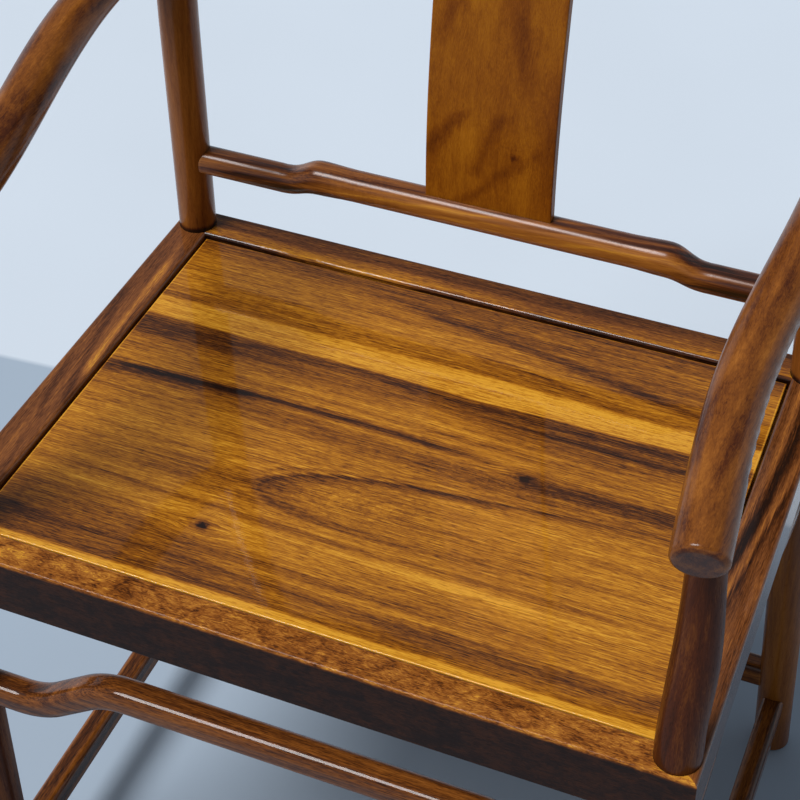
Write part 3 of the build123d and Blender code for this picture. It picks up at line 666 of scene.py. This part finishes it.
@dataclass
class Seat(SubAssembly):
    """The mitred frame, the floating panel, its battens and the frame's pegs."""

    hidden_edge: float = 8.2  # the panel's tongue and the gap round it
    back_land: float = 31.0  # width of the back rail's top

    def panel_rim(self) -> tuple[float, float, float, float]:
        """Find the visible part of the panel, inside the tongue that the frame's groove hides.

        Returns:
            Its half widths at the front and the back, and the places of its front and back, mm.
        """
        low, high = ((end - self.origin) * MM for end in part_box("seat_panel"))
        front, back = low.y + self.hidden_edge, high.y - self.hidden_edge
        widest, narrowest = (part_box(name)[1].x * MM for name in ("seat_front_rail", "seat_back_rail"))
        depth = (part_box("seat_back_rail")[1].y - self.origin.y) * MM
        taper = (widest - narrowest) / depth
        half_front = high.x - self.hidden_edge - taper * self.hidden_edge
        return (half_front, half_front - taper * (back - front), front, back)

    def panel(self) -> Timber:
        """The seat's one wide board, with its marked bands from the front edge to the back.

        Full gloss: the eye gets the back and its posts mirrored in it, over gold and near-black stripes.

        Returns:
            The board's finish.
        """
        return Timber(
            name="acacia_board_gloss_lacquered",
            grain=Grain.SIDEWAYS,
            tone=0.58,
            gloss=1.0,
            ring_contrast=0.1,
            ring_spacing=7.0,
            wander=2.5,
            cloud_contrast=0.24,
            fibre_contrast=0.36,
            dash_contrast=0.4,
            wear_and_highlight=0.0,
            rim=self.panel_rim(),
            bands=(
                # gold sapwood at the front edge, then brown
                *((24.0, 0.78), (35.0, 0.82), (37.5, 0.36), (48.0, 0.42), (55.0, 0.32), (62.0, 0.46)),
                # the wide golden middle
                *((78.0, 0.52), (90.0, 0.56), (104.0, 0.64), (120.0, 0.56), (135.0, 0.6), (190.0, 0.58)),
                *((205.0, 0.5), (222.0, 0.44), (232.0, 0.52), (246.0, 0.58), (260.0, 0.54)),
                # a dark band against the gold one
                *((269.0, 0.42), (274.0, 0.3), (294.0, 0.28), (297.0, 0.8), (306.0, 0.86), (319.5, 0.82)),
                # the mild wood at the back
                *((322.5, 0.42), (332.0, 0.54), (352.0, 0.6), (372.0, 0.56), (388.0, 0.46), (403.0, 0.3)),
            ),
            figure=(
                # the gold edge widens to the right
                Streak((-380.0, 30.0), (0.0, 34.0), (380.0, 43.0), 4.5, 0.08),
                # the near-black line across the middle, and where it goes on past the knot
                Streak((-270.0, 229.0), (-110.0, 236.0), (80.0, 231.0), 3.2, -0.42),
                Streak((-310.0, 227.0), (-220.0, 229.0), (-120.0, 234.0), 6.0, -0.3),
                Streak((90.0, 221.0), (170.0, 223.0), (300.0, 223.0), 5.5, -0.28),
                # heart lines that run slantwise from the back edge into the gold band
                Streak((-70.0, 380.0), (100.0, 359.0), (290.0, 318.0), 5.0, -0.26),
                Streak((-120.0, 386.0), (60.0, 372.0), (260.0, 350.0), 12.0, -0.12),
                Streak((0.0, 346.0), (70.0, 338.0), (170.0, 318.0), 3.0, -0.16),
                # slow changes of colour along the bands
                Patch((-200.0, 284.0), (80.0, 13.0), -0.12),
                Patch((10.0, 268.0), (50.0, 10.0), 0.1),
                Patch((130.0, 268.0), (70.0, 16.0), -0.12),
                Patch((-220.0, 62.0), (90.0, 26.0), -0.14),
                Patch((130.0, 308.0), (90.0, 9.0), 0.05),
                Patch((150.0, 90.0), (90.0, 14.0), 0.06),
                Patch((120.0, 208.0), (120.0, 9.0), -0.12),
                Patch((130.0, 256.0), (80.0, 8.0), -0.12),
                Patch((40.0, 150.0), (70.0, 20.0), -0.06),
                # fine lines, dark and pale, from the dark band forward
                Streak((-60.0, 289.0), (60.0, 286.0), (220.0, 289.0), 2.4, -0.2),
                Streak((20.0, 279.0), (130.0, 276.0), (290.0, 277.0), 2.0, -0.2),
                Streak((-40.0, 271.0), (70.0, 274.0), (200.0, 268.0), 1.6, 0.16),
                Streak((-200.0, 252.0), (0.0, 256.0), (240.0, 250.0), 2.6, 0.16),
                Streak((-260.0, 243.0), (-40.0, 247.0), (260.0, 240.0), 1.8, -0.14),
                Streak((-260.0, 118.0), (0.0, 112.0), (260.0, 116.0), 2.6, -0.14),
                Streak((-260.0, 100.0), (0.0, 104.0), (260.0, 98.0), 3.0, 0.12),
                Streak((-120.0, 64.0), (60.0, 66.0), (260.0, 62.0), 2.4, 0.16),
                Patch((150.0, 365.0), (70.0, 24.0), -0.1),
                # curl in the gold band, beside the knot and round the arches
                Curl((130.0, 309.0), (110.0, 12.0), 0.3),
                Curl((80.0, 215.0), (110.0, 12.0), 0.24),
                Curl((0.0, 150.0), (90.0, 24.0), 0.2),
                Curl((-150.0, 100.0), (120.0, 50.0), 0.12),
                Arches((-90.0, 145.0), 0.09, 33.0, 150.0, (120.0, 170.0, 62.0), 0.6),
            ),
            knots=(Knot(101.0, 224.0, 3.0), Knot(-105.0, 91.5, 3.6)),
        )

    def finishes(self) -> dict[str, Timber]:
        """The frame's four rails are cut from four different places in the log.

        Returns:
            The finish of each piece of the seat by its name.
        """
        inner = (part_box("seat_back_rail")[1].y - self.origin.y) * MM - self.back_land
        # Straight-grained and red: the eye gets long quiet stripes that end at the mitres.
        side = dict(
            grain=Grain.FRONT_TO_BACK,
            middle="7a4620",
            pale="a8682a",
            ring_spacing=9.0,
            ring_contrast=0.24,
            fibre_contrast=0.2,
            dash_contrast=0.2,
            pore_contrast=0.1,
            gloss_roughness=0.08,
        )
        # Under the seat, straight from the plane: dull, because one thin coat sinks into the wood.
        batten = Timber("acacia_planed_thin_lacquer", Grain.FRONT_TO_BACK, tone=0.3, gloss_roughness=0.3)
        # Straw-coloured dots beside the dark wood, with fibres 1.5 mm apart and no polish.
        peg = Timber(
            "bamboo_split_trimmed_flush",
            Grain.UPRIGHT,
            dark="8a6a3a",
            middle="b08d55",
            pale="c9a970",
            palest="d8bd88",
            ring_spacing=1.5,
            gloss_roughness=0.35,
        )
        return {
            "seat_panel": self.panel(),
            # Burr on top, where the eye gets a mottle with no direction, and painted shade on its outer
            # face, which keeps little of the figure.
            "seat_front_rail": Timber(
                "acacia_burr_gloss_lacquered",
                Grain.SIDEWAYS,
                middle="884c18",
                pale="b0702a",
                tone=0.55,
                ring_contrast=0.1,
                cloud_contrast=0.1,
                fibre_contrast=0.14,
                dash_contrast=0.2,
                mottle_contrast=0.5,
                figure=(
                    # two dark eyes, and a paler left end
                    Patch((-197.0, 10.0), (10.0, 12.0), -0.16),
                    Patch((-122.0, 13.0), (17.0, 11.0), -0.2),
                    Patch((-240.0, 13.0), (60.0, 16.0), 0.07),
                ),
                gloss=0.25,
                wear_and_highlight=0.2,
                shaded_face_top=-1.0,
            ),
            # Plain and mild, with a painted shadow line along its inner edge where it drops to the panel.
            "seat_back_rail": Timber(
                "acacia_back_rail_gloss_lacquered",
                Grain.SIDEWAYS,
                middle="7d4618",
                tone=0.46,
                ring_contrast=0.1,
                fibre_contrast=0.3,
                bands=(
                    # the first bands paint the shade in the groove beside the panel
                    *((inner - 0.1, 0.1), (inner + 1.1, 0.3), (inner + 2.5, 0.62)),
                    *((inner + 11.5, 0.58), (inner + 16.5, 0.42), (inner + 31.5, 0.4)),
                ),
                feather=2.0,
            ),
            "seat_left_rail": Timber(
                "acacia_left_rail_gloss_lacquered",
                tone=0.42,
                gloss=1.0,
                pith=(250.0, 60.0),
                lean=(0.16, 0.0),
                figure=(
                    # a painted highlight beside the panel, along the rounded inner edge, and dark lines
                    # that slant across to it
                    Streak((370.0, 272.0), (270.0, 271.0), (190.0, 269.0), 3.6, 0.4),
                    Streak((330.0, 292.0), (245.0, 280.0), (150.0, 265.0), 3.6, -0.22),
                    Streak((230.0, 290.0), (140.0, 278.0), (60.0, 266.0), 3.0, -0.18),
                    Streak((150.0, 279.0), (120.0, 274.0), (80.0, 268.0), 2.4, 0.16),
                ),
                **side,
            ),
            "seat_right_rail": Timber(
                "acacia_right_rail_gloss_lacquered",
                tone=0.34,
                gloss=1.0,
                pith=(-330.0, 60.0),
                lean=(0.14, 0.0),
                figure=(
                    # pale and dark lines in turn, all slanting forward to the panel
                    Streak((420.0, -271.0), (300.0, -271.5), (215.0, -263.0), 3.0, 0.22),
                    Streak((400.0, -281.0), (275.0, -278.0), (160.0, -262.0), 4.2, -0.42),
                    Streak((330.0, -290.0), (250.0, -282.0), (120.0, -266.0), 3.0, 0.24),
                    Streak((300.0, -292.0), (220.0, -283.0), (100.0, -270.0), 1.6, -0.26),
                    Streak((200.0, -292.0), (120.0, -287.0), (20.0, -280.0), 4.0, 0.12),
                ),
                **side,
            ),
            "panel_batten_left": batten,
            "panel_batten_right": batten,
            "frame_tenon_pegs": peg,
        }


@dataclass
class Uprights(SubAssembly):
    """Legs, posts, arms, back and crest rail: round members shaped with a spokeshave and scraper."""

    def splat(self) -> Timber:
        """The back's one board, cut near a branch, so that the grain swirls round a small knot low down.

        Semi-gloss: the eye gets an even warm brown that doesn't flash.

        Returns:
            The splat's finish.
        """
        foot = (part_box("splat_rail")[1].z - self.origin.z) * MM
        return Timber(
            "acacia_splat_gloss_lacquered",
            Grain.UPRIGHT_BOARD,
            dark="5a2804",
            middle="834607",
            pale="a7650f",
            palest="c27c1f",
            tone=0.58,
            ring_spacing=14.0,
            ring_contrast=0.14,
            cloud_contrast=0.2,
            gloss=0.3,
            gloss_roughness=0.25,
            fibre_contrast=0.08,
            dash_contrast=0.08,
            fleck_contrast=0.12,
            pore_contrast=0.04,
            mottle_contrast=0.1,
            wander=14.0,
            pith=(20.0, 0.0),
            figure=(
                # soft dark lines that sweep up to the right round the knot
                Streak((foot + 14.0, -66.0), (foot + 49.0, -50.0), (foot + 90.0, -18.0), 7.0, -0.22),
                Streak((foot + 22.0, -18.0), (foot + 52.0, -6.0), (foot + 92.0, 16.0), 6.5, -0.16),
                Streak((foot - 10.0, -44.0), (foot + 24.0, 2.0), (foot + 66.0, 40.0), 6.5, -0.14),
                Patch((foot + 70.0, 54.0), (70.0, 14.0), -0.24),
                Patch((foot + 60.0, -26.0), (26.0, 9.0), 0.14),
                Patch((foot + 40.0, 26.0), (26.0, 10.0), 0.06),
                Patch((foot + 240.0, -20.0), (80.0, 18.0), 0.12),
                # two long lines higher up
                Streak((foot + 100.0, 30.0), (foot + 260.0, 6.0), (foot + 420.0, 30.0), 8.0, -0.18),
                Streak((foot + 120.0, -50.0), (foot + 300.0, -36.0), (foot + 440.0, -52.0), 7.0, -0.16),
                Curl((foot + 50.0, 30.0), (30.0, 20.0), 0.18),
            ),
            knots=(Knot(foot + 52.0, 20.0, 3.4, 0.34),),
        )

    def finishes(self) -> dict[str, Timber]:
        """Each member's own cut of the same timber.

        Returns:
            The finish of each piece above and below the seat's corners by its name.
        """
        # Scraped round and brushed with lacquer: soft long highlights along the bars.
        member = dict(
            dark="4c220a",
            middle="804816",
            pale="a26324",
            palest="c0802c",
            ring_spacing=12.0,
            ring_contrast=0.26,
            cloud_contrast=0.34,
            fibre_contrast=0.1,
            dash_contrast=0.08,
            fleck_contrast=0.08,
            pore_contrast=0.05,
            gloss_roughness=0.16,
        )
        found = {}
        for side, sign in (("left", -1.0), ("right", 1.0)):
            found[f"back_leg_{side}"] = Timber(
                f"acacia_back_leg_{side}_gloss_lacquered",
                Grain.UPRIGHT,
                tone=0.5,
                pith=(470.0, sign * -240.0),
                # painted shade: a dark band round the post just above where it enters the frame
                figure=(Patch((1.0, 440.0), (3.4, 400.0), -0.6),),
                **member,
            )
            found[f"front_leg_{side}"] = Timber(
                f"acacia_front_leg_{side}_gloss_lacquered",
                Grain.UPRIGHT,
                tone=0.3,
                gloss=0.25,
                pith=(-40.0, sign * -330.0),
                **member,
            )
            found[f"arm_{side}"] = Timber(
                f"acacia_arm_{side}_gloss_lacquered",
                Grain.FRONT_TO_BACK,
                tone=0.43,
                gloss=0.6,
                mottle_contrast=0.16,
                pith=(sign * -340.0, 180.0),
                **member,
            )
        found["crest_rail"] = Timber(
            "acacia_crest_gloss_lacquered", Grain.SIDEWAYS, tone=0.4, pith=(500.0, 540.0), **member
        )
        # The hump-backed rail shows gold sapwood in front and dark heart behind, with painted shade under
        # both ends.
        front, back = ((end.y - self.origin.y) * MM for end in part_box("splat_rail"))
        figured = dict(ring_contrast=0.5, cloud_contrast=0.5, fibre_contrast=0.3, ring_spacing=6.0)
        shine = dict(palest="c8882a", gloss_roughness=0.24)
        found["splat_rail"] = Timber(
            "acacia_splat_rail_gloss_lacquered",
            Grain.SIDEWAYS,
            tone=0.36,
            gloss=1.0,
            pith=(440.0, 120.0),
            bands=((front, 0.84), (front + 4.0, 0.76), (front + 8.0, 0.46), (back, 0.4)),
            figure=(
                # painted shade under both ends; dark wood along the back on the right, gold on top to the
                # left
                Patch((-196.0, front - 2.0), (58.0, 8.0), -0.62),
                Patch((212.0, front - 2.0), (34.0, 9.0), -0.5),
                Patch((120.0, front + 15.0), (80.0, 7.0), -0.3),
                Patch((-190.0, front + 14.0), (70.0, 8.0), 0.18),
                Patch((40.0, front + 12.0), (110.0, 5.0), 0.1),
                # curl on the left hump
                Curl((-110.0, front + 8.0), (40.0, 14.0), 0.3),
            ),
            **{**member, **figured, **shine},
        )
        found["back_splat"] = self.splat()
        # Straw-coloured dots on the back of the crest rail.
        peg = Timber("bamboo_crest_pegs_trimmed_flush", Grain.FRONT_TO_BACK, middle="b08d55")
        found["crest_rail_pegs"] = peg
        return found


@dataclass
class Stretchers(SubAssembly):
    """The hump-backed and the low stretchers between the legs."""

    def finishes(self) -> dict[str, Timber]:
        """Bars across the chair have sideways grain, those of its sides run front to back.

        Returns:
            The finish of each stretcher by its name.
        """
        # Quieter and darker than the seat: plain bars, where the eye gets fine straight lines.
        shades = dict(middle="7c4618", pale="9e6026", palest="bc7a30")
        look = dict(tone=0.38, ring_spacing=8.0, fibre_contrast=0.26, **shades)
        cross, side = "acacia_cross_stretcher_gloss_lacquered", "acacia_side_stretcher_gloss_lacquered"
        across = Timber(cross, Grain.SIDEWAYS, pith=(120.0, -240.0), **look)
        along = Timber(side, Grain.FRONT_TO_BACK, pith=(90.0, -240.0), **look)
        names = [name for name in self.nodes if name.endswith(("stretcher", "footrail"))]
        return {name: along if name.startswith(("left", "right")) else across for name in names}


@dataclass
class Studio:
    """A pale floor that turns to the shade of a wall behind the chair, one soft lamp and a pale room."""

    origin: Vector
    floor_half: float = 24.0  # metres
    wall_behind_seat_front: float = 0.699  # metres, in the chair's middle
    wall_turn: float = 0.071  # how far the wall drifts back to the right, a width of one
    floor_shade: str = "a4b3c3"
    wall_shade: str = "d2dce7"
    room_shade: str = "d3dde8"
    room_behind: float = 0.38  # the light that comes from the room behind the chair
    room_in_front: float = 0.2
    walls_seen: float = 0.95
    daylight: float = 2.9
    window_width: float = 0.44  # radians across
    window_direction: tuple[float, float, float] = (-0.34, -0.38, 0.86)

    def floor(self) -> None:
        """Lay the floor, in matt paint; its colour changes along the foot of the wall."""
        mesh = bpy.data.meshes.new("floor")
        shape = bmesh.new()
        half = self.floor_half
        corners = ((-half, -half, 0), (half, -half, 0), (half, half, 0), (-half, half, 0))
        shape.faces.new([shape.verts.new(corner) for corner in corners])
        shape.to_mesh(mesh)
        shape.free()
        paint = bpy.data.materials.new("floor_matt_paint")
        sheet = NodeSheet(paint)
        point = sheet.add("TexCoord", {}, out="Object")
        split = sheet.add("SeparateXYZ", {0: point}, out="X")
        foot = self.origin.y + self.wall_behind_seat_front
        line = sheet.add("Math", {0: split, 1: self.wall_turn, 2: foot}, operation="MULTIPLY_ADD")
        beyond = sheet.add("Math", {0: split.node.outputs["Y"], 1: line}, operation="SUBTRACT")
        # One shade turns to the other over 8 mm.
        wall = sheet.add("MapRange", {0: beyond, 1: -0.004, 2: 0.004})
        # The roller's uneven coat, in clouds 0.4 m across.
        cloud = sheet.add("TexNoise", {"Vector": point, "Scale": 2.5, "Detail": 2.0})
        tints = {0: wall, 6: linear(self.floor_shade), 7: linear(self.wall_shade)}
        shade = sheet.add("Mix", tints, out=2, data_type="RGBA")
        level = sheet.add("MapRange", {0: cloud, 3: 0.96, 4: 1.04})
        tinted = sheet.add("VectorMath", {0: shade, "Scale": level}, operation="SCALE")
        matt = {"Base Color": tinted, "Roughness": 0.75, "Specular IOR Level": 0.2}
        surface = sheet.add("BsdfPrincipled", matt)
        sheet.add("OutputMaterial", {"Surface": surface})
        plane = bpy.data.objects.new("floor", mesh)
        mesh.materials.append(paint)
        bpy.context.scene.collection.objects.link(plane)

    def window(self) -> None:
        """Let in soft daylight from high on the left, in front of the chair."""
        light = bpy.data.lights.new("tall_window", "SUN")
        light.energy = self.daylight
        light.angle = self.window_width
        lamp = bpy.data.objects.new("tall_window", light)
        lamp.rotation_euler = Vector(self.window_direction).to_track_quat("Z", "Y").to_euler()
        bpy.context.scene.collection.objects.link(lamp)

    def room(self) -> None:
        """A dim room, lighter at the back, whose pale walls are seen directly and in the lacquer."""
        world = bpy.data.worlds.new("studio_room")
        sheet = NodeSheet(world)
        direction = sheet.add("TexCoord", {}, out="Generated")
        split = sheet.add("SeparateXYZ", {0: direction}, out="Y")
        sides = {0: split, 1: -0.7, 2: 0.6, 3: self.room_in_front, 4: self.room_behind}
        plain = sheet.add("MapRange", sides)
        path = sheet.add("LightPath", {}, out="Is Camera Ray").node
        seen = path.outputs["Is Camera Ray"]
        for kind in ("Is Glossy Ray", "Is Transmission Ray"):
            seen = sheet.add("Math", {0: seen, 1: path.outputs[kind]}, operation="MAXIMUM")
        low = sheet.add("MapRange", {0: split.node.outputs["Z"], 1: 0.3, 2: 0.5, 3: 1.0, 4: 0.0})
        wall = sheet.add("Math", {0: seen, 1: low}, operation="MULTIPLY")
        level = sheet.add("Mix", {0: wall, 2: plain, 3: self.walls_seen}, data_type="FLOAT")
        glow = sheet.add("Background", {"Color": linear(self.room_shade), "Strength": level})
        sheet.add("OutputWorld", {"Surface": glow})
        bpy.context.scene.world = world

    def build(self) -> None:
        """Lay the floor and light it."""
        self.floor()
        self.window()
        self.room()
        LOG.info("studio built")


@dataclass
class Viewpoint:
    """The camera: a long lens, high in front of the chair and to its right.

    Its place is given from the middle of the seat's front edge, level with the top of the frame.
    """

    origin: Vector
    from_seat: tuple[float, float, float] = (0.41633, -0.73041, 1.01193)
    tilt: float = 47.112  # degrees up from straight down
    roll: float = 1.071
    turn: float = 22.569  # degrees to the left of the chair's depth
    lens: float = 84.6
    sensor: float = 36.0

    def build(self) -> None:
        """Place the camera and make it the scene's own."""
        data = bpy.data.cameras.new("camera")
        data.lens = self.lens
        data.sensor_width = self.sensor
        data.clip_start = 0.05
        camera = bpy.data.objects.new("camera", data)
        camera.location = self.origin + Vector(self.from_seat)
        camera.rotation_euler = [math.radians(angle) for angle in (self.tilt, self.roll, self.turn)]
        bpy.context.scene.collection.objects.link(camera)
        bpy.context.scene.camera = camera
        LOG.info("camera placed")


def seat_origin() -> Vector:
    """The middle of the seat's front edge, level with the top of the frame, in metres."""
    low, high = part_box("seat_front_rail")
    return Vector((0.0, low.y, high.z))


def main() -> None:
    """Load the frame, finish every piece, and set up the studio and the camera."""
    logging.basicConfig(level=logging.INFO, format="%(name)s %(message)s")
    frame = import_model()
    bpy.context.scene.view_settings.view_transform = "Standard"
    nodes = frame["nodes"]
    origin = seat_origin()
    assemblies = (Seat(nodes, origin), Uprights(nodes, origin), Stretchers(nodes, origin))
    for part in (*assemblies, Studio(origin), Viewpoint(origin)):
        part.build()
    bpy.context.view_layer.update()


if __name__ == "__main__":
    main()
